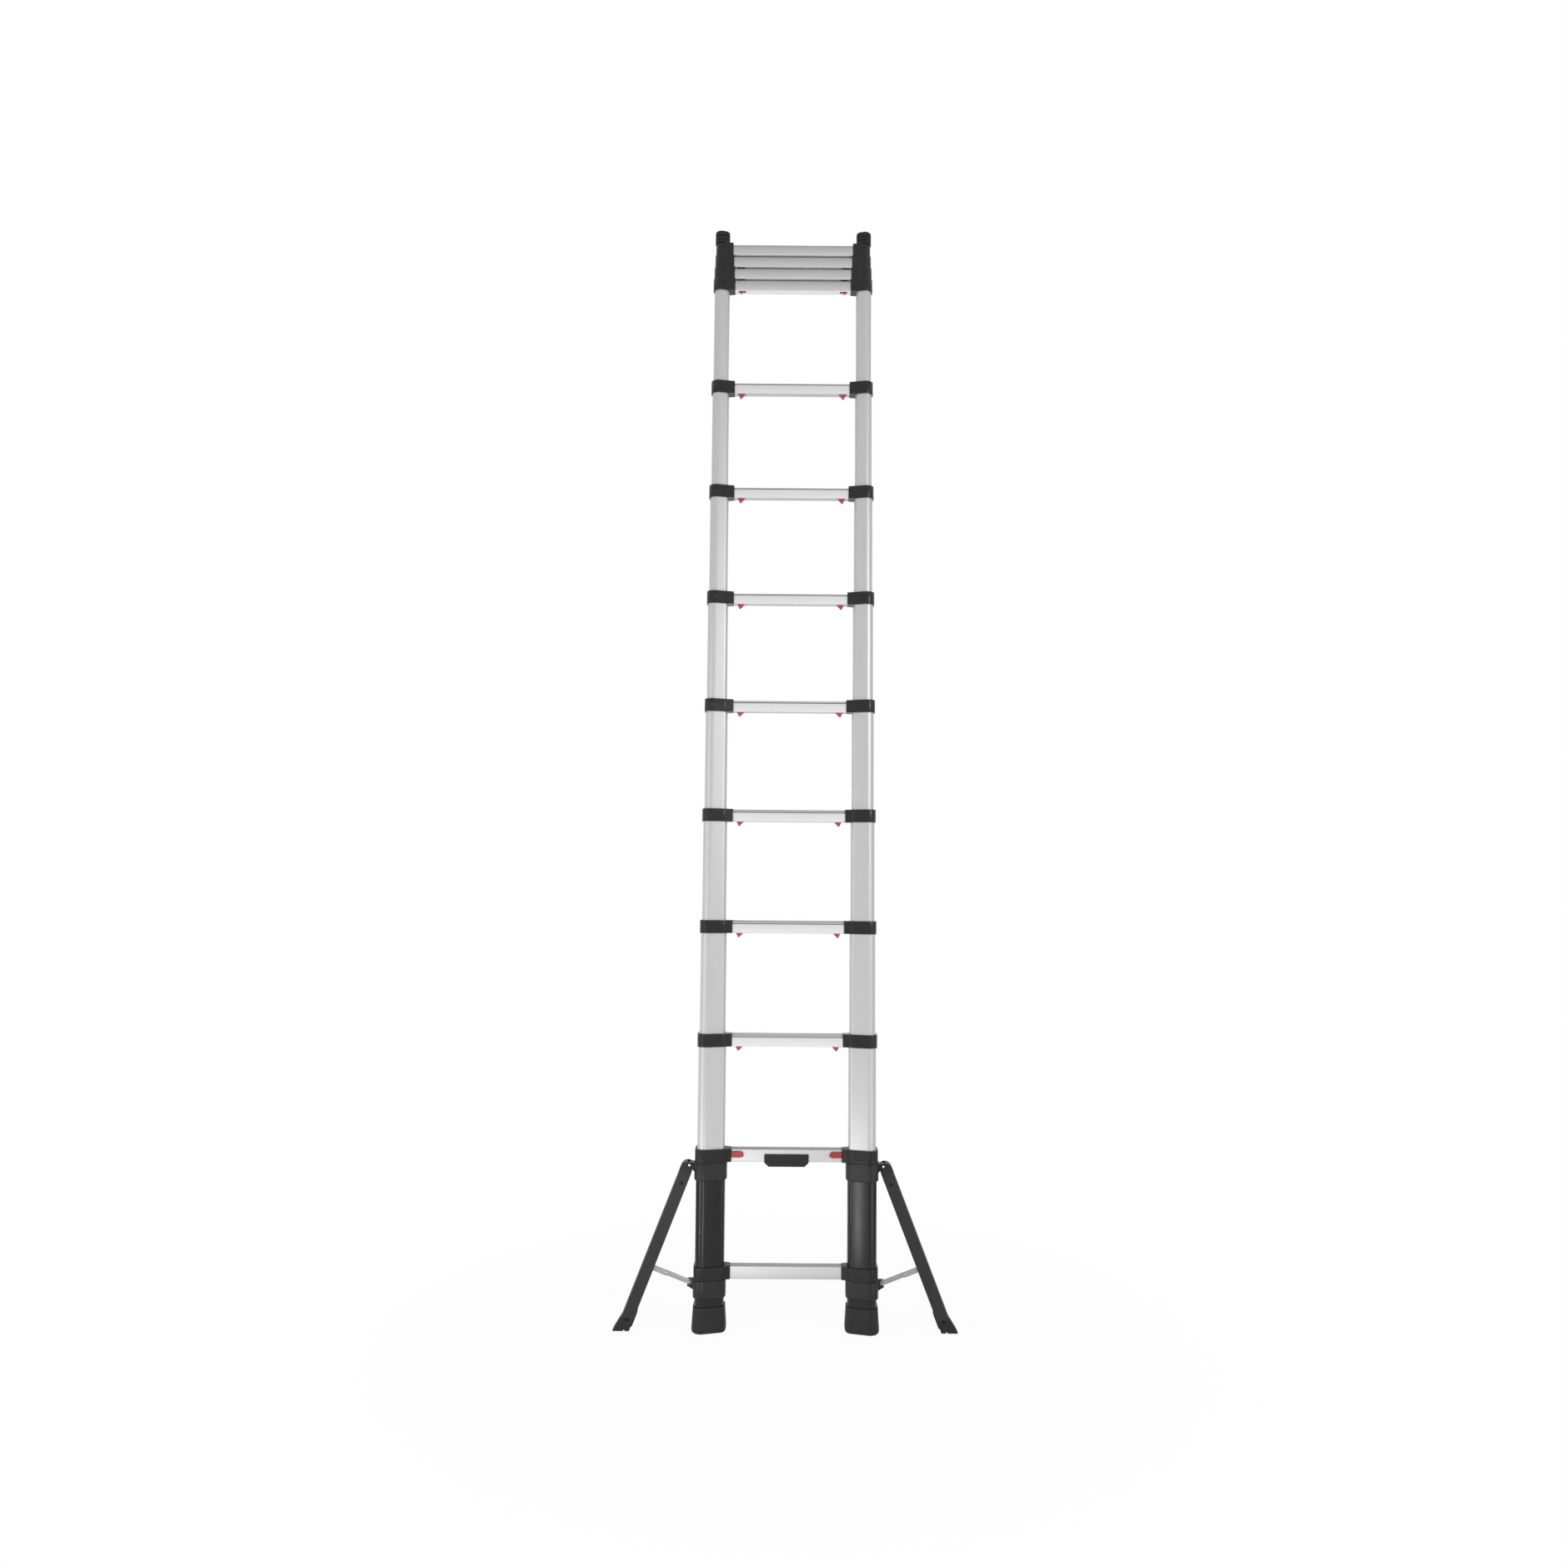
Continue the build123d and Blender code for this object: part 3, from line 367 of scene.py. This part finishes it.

# Painted light and shade on the fronts of the rungs, as levels up their height: spread rungs, stacked
# rungs, and the base's two
# Spread rungs: painted shade along the bottom edge and towards the top, and a dark painted shade line at
# the foot of the nosing
SPREAD_FRONT_SHADING = (
    (0.0, 0.57), (0.05, 0.75), (0.7, 0.66),
    (0.72, 0.14), (0.78, 0.14), (0.8, 0.58),
)
# Stacked rungs: a painted highlight along the bottom lip, and painted shade that deepens towards the top
STACK_FRONT_SHADING = ((0.0, 0.86), (0.03, 0.6), (0.84, 0.4), (0.87, 0.2))
# Base rungs: painted shade along the bottom of the lower front
BASE_FRONT_SHADING = ((0.0, 0.47), (0.02, 0.5), (0.06, 0.57), (1.0, 0.55))
# Rungs in the folded stack, which take the stacked rungs' painted light and shade
STACKED = ("rung_09", "rung_10", "rung_11", "rung_12")

# Levels of a rung's tread, painted darker as shade, of the strip painted dark as groove shade, and of the
# tread's back edge, painted darker as shade
RUNG_TOP = (0.56, 0.1, 0.36)
BASE_RUNG_TOP = (0.34, 0.32, 0.28)


def heights(node):
    corners = [corner[2] for corner in node.bound_box]
    return min(corners), max(corners)


def finish_for(name):
    if name == "base_rungs":
        return aluminium_rung(name, BASE_FRONT_SHADING, *BASE_RUNG_TOP, *heights(nodes[name]))
    if name.startswith("rung"):
        front = STACK_FRONT_SHADING if name in STACKED else SPREAD_FRONT_SHADING
        return aluminium_rung(name, front, *RUNG_TOP, *heights(nodes[name]))
    for start, finish in FINISH_OF:
        if name.startswith(start):
            return finishes[finish]
    raise ValueError(name)


for name, node in nodes.items():
    finish = finish_for(name)
    for slot in node.material_slots:
        slot.material = finish


# Moulded parts get softened edges over the CAD shape
SOFTENED = ("knuckles", "base_knuckles", "stabiliser_collars", "ladder_feet", "leg_foot", "front_plate")
WELD_REACH = 0.00002
SOFT_EDGE = 0.0012
SOFT_SEGMENTS = 2
SOFT_ANGLE = 40
for name, node in nodes.items():
    if name.startswith(SOFTENED):
        weld = node.modifiers.new("weld", "WELD")
        weld.merge_threshold = WELD_REACH
        soften = node.modifiers.new("soften", "BEVEL")
        soften.width = SOFT_EDGE
        soften.segments = SOFT_SEGMENTS
        soften.limit_method = "ANGLE"
        soften.angle_limit = radians(SOFT_ANGLE)


def add_piece(name, mesh, finish, body):
    piece = bpy.data.objects.new(name, mesh)
    bpy.context.collection.objects.link(piece)
    mesh.materials.append(finish)
    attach(piece, body)


def closed_mesh(name, loops, smooth):
    """Mesh from rows of corner points: walls between the rows, and the first and last row closed."""
    mesh = bpy.data.meshes.new(name)
    made = bmesh.new()
    rows = [[made.verts.new(point) for point in loop] for loop in loops]
    for lower, upper in zip(rows, rows[1:]):
        for step in range(len(lower)):
            after = (step + 1) % len(lower)
            made.faces.new((lower[step], lower[after], upper[after], upper[step]))
    made.faces.new(rows[-1])
    made.faces.new(reversed(rows[0]))
    bmesh.ops.recalc_face_normals(made, faces=made.faces)
    made.to_mesh(mesh)
    made.free()
    for face in mesh.polygons:
        face.use_smooth = smooth
    return mesh


def turned(name, place, rings):
    """Turned piece facing the front: rings are (radius, distance in front of the place) pairs."""
    across, depth, up = place
    angles = [2 * pi * step / TURNED_STEPS for step in range(TURNED_STEPS)]
    loops = [
        [(across + radius * cos(angle), depth - front, up + radius * sin(angle)) for angle in angles]
        for radius, front in rings
    ]
    return closed_mesh(name, loops, smooth=True)


def strip_along(name, profile, half, height):
    """Strip along X with the same profile all the way: profile is (depth, rise) pairs in order."""
    loops = [[(across, depth, height + rise) for depth, rise in profile] for across in (-half, half)]
    return closed_mesh(name, loops, smooth=False)


# Raised nosing at the front of each sliding rung's tread, with grip ridges on its top
NOSING = (
    (-0.0113, 0.0076), (-0.0113, 0.0086), (-0.0108, 0.0114), (-0.0103, 0.0120), (-0.0095, 0.0123),
    (-0.0078, 0.0124), (-0.0074, 0.0129), (-0.0070, 0.0125),
    (-0.0052, 0.0126), (-0.0048, 0.0131), (-0.0044, 0.0127),
    (-0.0026, 0.0128), (-0.0022, 0.0133), (-0.0018, 0.0129),
    (0.0010, 0.0131), (0.0010, 0.0120),
)
NOSING_INSET = 0.0002
for name, node in nodes.items():
    if name.startswith("rung"):
        number = name.removeprefix("rung_")
        low, _ = heights(node)
        half = max(corner[0] for corner in node.bound_box) - NOSING_INSET
        mesh = strip_along(f"nosing_{number}", NOSING, half, low + RUNG_BELOW)
        # The nosing takes its rung's finish, painted light and shade included
        finish = node.material_slots[0].material
        add_piece(f"nosing_{number}", mesh, finish, f"section_{number}")

# Fastener heads: steps round them, and (radius, distance in front of their place) pairs
TURNED_STEPS = 24
BOLT_RINGS = (
    (0.0052, -0.001), (0.0052, 0.0004), (0.0049, 0.0008), (0.0040, 0.0008),
    (0.0040, 0.0022), (0.0034, 0.0029), (0.0021, 0.0031), (0.0019, 0.0012),
)
RIVET_RINGS = (
    (0.0042, -0.0006), (0.0042, 0.0002), (0.0039, 0.0007), (0.0032, 0.0012),
    (0.0022, 0.0016), (0.0011, 0.0018), (0.0003, 0.0018),
)
KNEE_RINGS = (
    (0.0042, -0.0006), (0.0042, 0.0001), (0.0039, 0.0003),
    (0.0032, 0.0006), (0.0022, 0.0008), (0.0008, 0.0009),
)
PIN_RINGS = (
    (0.0022, -0.012), (0.0022, 0.0), (0.0031, 0.0001),
    (0.0030, 0.0007), (0.0022, 0.0012), (0.0010, 0.0014),
)
stay_angle = radians(STAY_ANGLE)
knee = (STAY_PIVOT[0] + KNEE_ALONG * cos(stay_angle), STAY_PIVOT[1] + KNEE_ALONG * sin(stay_angle))
for side, name in ((-1, "left"), (1, "right")):
    leg_body = f"leg_{name}"
    stay_body = f"stay_short_{name}"
    fasteners = (
        ("boot_bolt", BOOT_BOLT, LEG_FRONT, BOLT_RINGS, "bolt", "leg_metal", leg_body),
        ("leg_rivet", LEG_RIVET, LEG_FRONT, RIVET_RINGS, "bolt", "leg_metal", leg_body),
        ("knee_rivet", knee, KNEE_FRONT, KNEE_RINGS, "stay", "stay_steel", stay_body),
        ("stay_rivet", STAY_PIVOT, STAY_RIVET_FRONT, RIVET_RINGS, "stay", "stay_steel", "base"),
        ("hinge_rivet", HINGE, HINGE_FRONT, PIN_RINGS, "bright", "stay_steel", "base"),
    )
    for kind, (across, up), front, rings, finish, slot, body in fasteners:
        mesh = turned(f"{kind}_{name}", (side * across, front, up), rings)
        add_piece(f"{kind}_{name}", mesh, finishes[finish], body)


def seen_directly(tree):
    """One where the camera, a reflection or a refraction looks, and zero for plain light."""
    path = tree.nodes.new("ShaderNodeLightPath")
    total = path.outputs["Is Camera Ray"]
    for name in ("Is Glossy Ray", "Is Transmission Ray"):
        made = tree.nodes.new("ShaderNodeMath")
        made.operation = "MAXIMUM"
        tree.links.new(total, made.inputs[0])
        tree.links.new(path.outputs[name], made.inputs[1])
        total = made.outputs[0]
    return total


def blend_into(tree, share, first, second, output):
    """Mix two shaders by a share and send the result to the output."""
    blend = tree.nodes.new("ShaderNodeMixShader")
    tree.links.new(share, blend.inputs[0])
    tree.links.new(first.outputs[0], blend.inputs[1])
    tree.links.new(second.outputs[0], blend.inputs[2])
    tree.links.new(blend.outputs[0], tree.nodes.new(output).inputs["Surface"])


# Pale floor, whiter where it is seen directly, that keeps a soft shadow near the feet
FLOOR_HALF = 30.0
FLOOR_LEVEL = 0.9
FLOOR_WHITE_SHARE = 0.95
FLOOR_FADE = (0.4, 1.5)


def floor_white():
    finish = bpy.data.materials.new("floor_white")
    finish.use_nodes = True
    tree = finish.node_tree
    tree.nodes.clear()
    reach = tree.nodes.new("ShaderNodeVectorMath")
    reach.operation = "LENGTH"
    tree.links.new(tree.nodes.new("ShaderNodeTexCoord").outputs["Object"], reach.inputs[0])
    fade = tree.nodes.new("ShaderNodeMapRange")
    fade.interpolation_type = "SMOOTHERSTEP"
    fade.inputs["From Min"].default_value = FLOOR_FADE[0]
    fade.inputs["From Max"].default_value = FLOOR_FADE[1]
    fade.inputs["To Min"].default_value = FLOOR_WHITE_SHARE
    fade.inputs["To Max"].default_value = 1.0
    tree.links.new(reach.outputs["Value"], fade.inputs["Value"])
    share = tree.nodes.new("ShaderNodeMath")
    share.operation = "MULTIPLY"
    tree.links.new(seen_directly(tree), share.inputs[0])
    tree.links.new(fade.outputs[0], share.inputs[1])
    matt = tree.nodes.new("ShaderNodeBsdfDiffuse")
    matt.inputs["Color"].default_value = (*grey(FLOOR_LEVEL), 1)
    white = tree.nodes.new("ShaderNodeEmission")
    white.inputs["Strength"].default_value = 1.0
    blend_into(tree, share.outputs[0], matt, white, "ShaderNodeOutputMaterial")
    return finish


floor_mesh = bpy.data.meshes.new("floor")
floor_corners = [(-1, -1), (1, -1), (1, 1), (-1, 1)]
floor_mesh.from_pydata([(x * FLOOR_HALF, y * FLOOR_HALF, 0) for x, y in floor_corners], [], [(0, 1, 2, 3)])
floor = bpy.data.objects.new("floor", floor_mesh)
bpy.context.collection.objects.link(floor)
floor_mesh.materials.append(floor_white())

# White world, softer where it only lights the object
WORLD_LIGHT = 0.36
world = bpy.data.worlds.new("studio")
bpy.context.scene.world = world
world.use_nodes = True
world_tree = world.node_tree
world_tree.nodes.clear()
backgrounds = []
for strength in (WORLD_LIGHT, 1.0):
    background = world_tree.nodes.new("ShaderNodeBackground")
    background.inputs["Color"].default_value = (1, 1, 1, 1)
    background.inputs["Strength"].default_value = strength
    backgrounds.append(background)
blend_into(world_tree, seen_directly(world_tree), *backgrounds, "ShaderNodeOutputWorld")

# Lamps: name, place, aim, width, height, watts, whether it lights, and whether it shows as a glint
LAMPS = (
    ("key", (-2.8, -2.2, 0.6), (0, 0, 0.5), 0.7, 1.0, 80, True, False),
    ("side", (2.7, -1.9, 0.7), (0, 0, 0.6), 0.6, 1.1, 22, True, False),
    ("fill", (2.4, -2.6, 2.4), (0, 0, 2.2), 0.8, 1.2, 32, True, True),
    ("back", (0.6, 3.0, 3.2), (0, 0, 1.6), 2.4, 1.6, 12, True, True),
    ("low_strip", (-0.17, -0.58, 0.17), (0.1, 0, 0.17), 0.05, 0.34, 0.95, False, True),
    ("left_strip", (-0.76, -0.52, 0.17), (-0.2, 0, 0.17), 0.05, 0.34, 1.4, False, True),
    ("right_strip", (0.76, -0.52, 0.17), (0.2, 0, 0.17), 0.05, 0.34, 0.8, False, True),
    ("left_tall", (-0.76, -0.52, 1.15), (-0.2, 0, 1.15), 0.12, 1.6, 1.3, False, True),
    ("right_tall", (0.76, -0.52, 1.15), (0.2, 0, 1.15), 0.12, 1.6, 0.8, False, True),
)
for name, place, aim, width, height, power, lights, shines in LAMPS:
    data = bpy.data.lights.new(name, "AREA")
    data.shape = "RECTANGLE"
    data.size = width
    data.size_y = height
    data.energy = power
    lamp = bpy.data.objects.new(name, data)
    bpy.context.collection.objects.link(lamp)
    lamp.location = place
    lamp.rotation_euler = (Vector(aim) - Vector(place)).to_track_quat("-Z", "Y").to_euler()
    lamp.visible_camera = False
    lamp.visible_diffuse = lights
    lamp.visible_glossy = shines

# Camera at the photograph's place and angle
pitch = radians(CAMERA_PITCH)
roll = radians(CAMERA_ROLL)
ahead = Vector((0, cos(pitch), sin(pitch)))
right = Vector((1, 0, 0))
up = right.cross(ahead)
camera_x = cos(roll) * right + sin(roll) * up
camera_y = cos(roll) * up - sin(roll) * right
data = bpy.data.cameras.new("camera")
data.sensor_width = SENSOR
data.lens = SENSOR * FOCAL_PIXELS / IMAGE_PIXELS
camera = bpy.data.objects.new("camera", data)
bpy.context.collection.objects.link(camera)
turn = Matrix((camera_x, camera_y, -ahead)).transposed()
camera.matrix_world = Matrix.Translation(CAMERA_PLACE) @ turn.to_4x4()
bpy.context.scene.camera = camera

bpy.context.scene.view_settings.view_transform = "Standard"
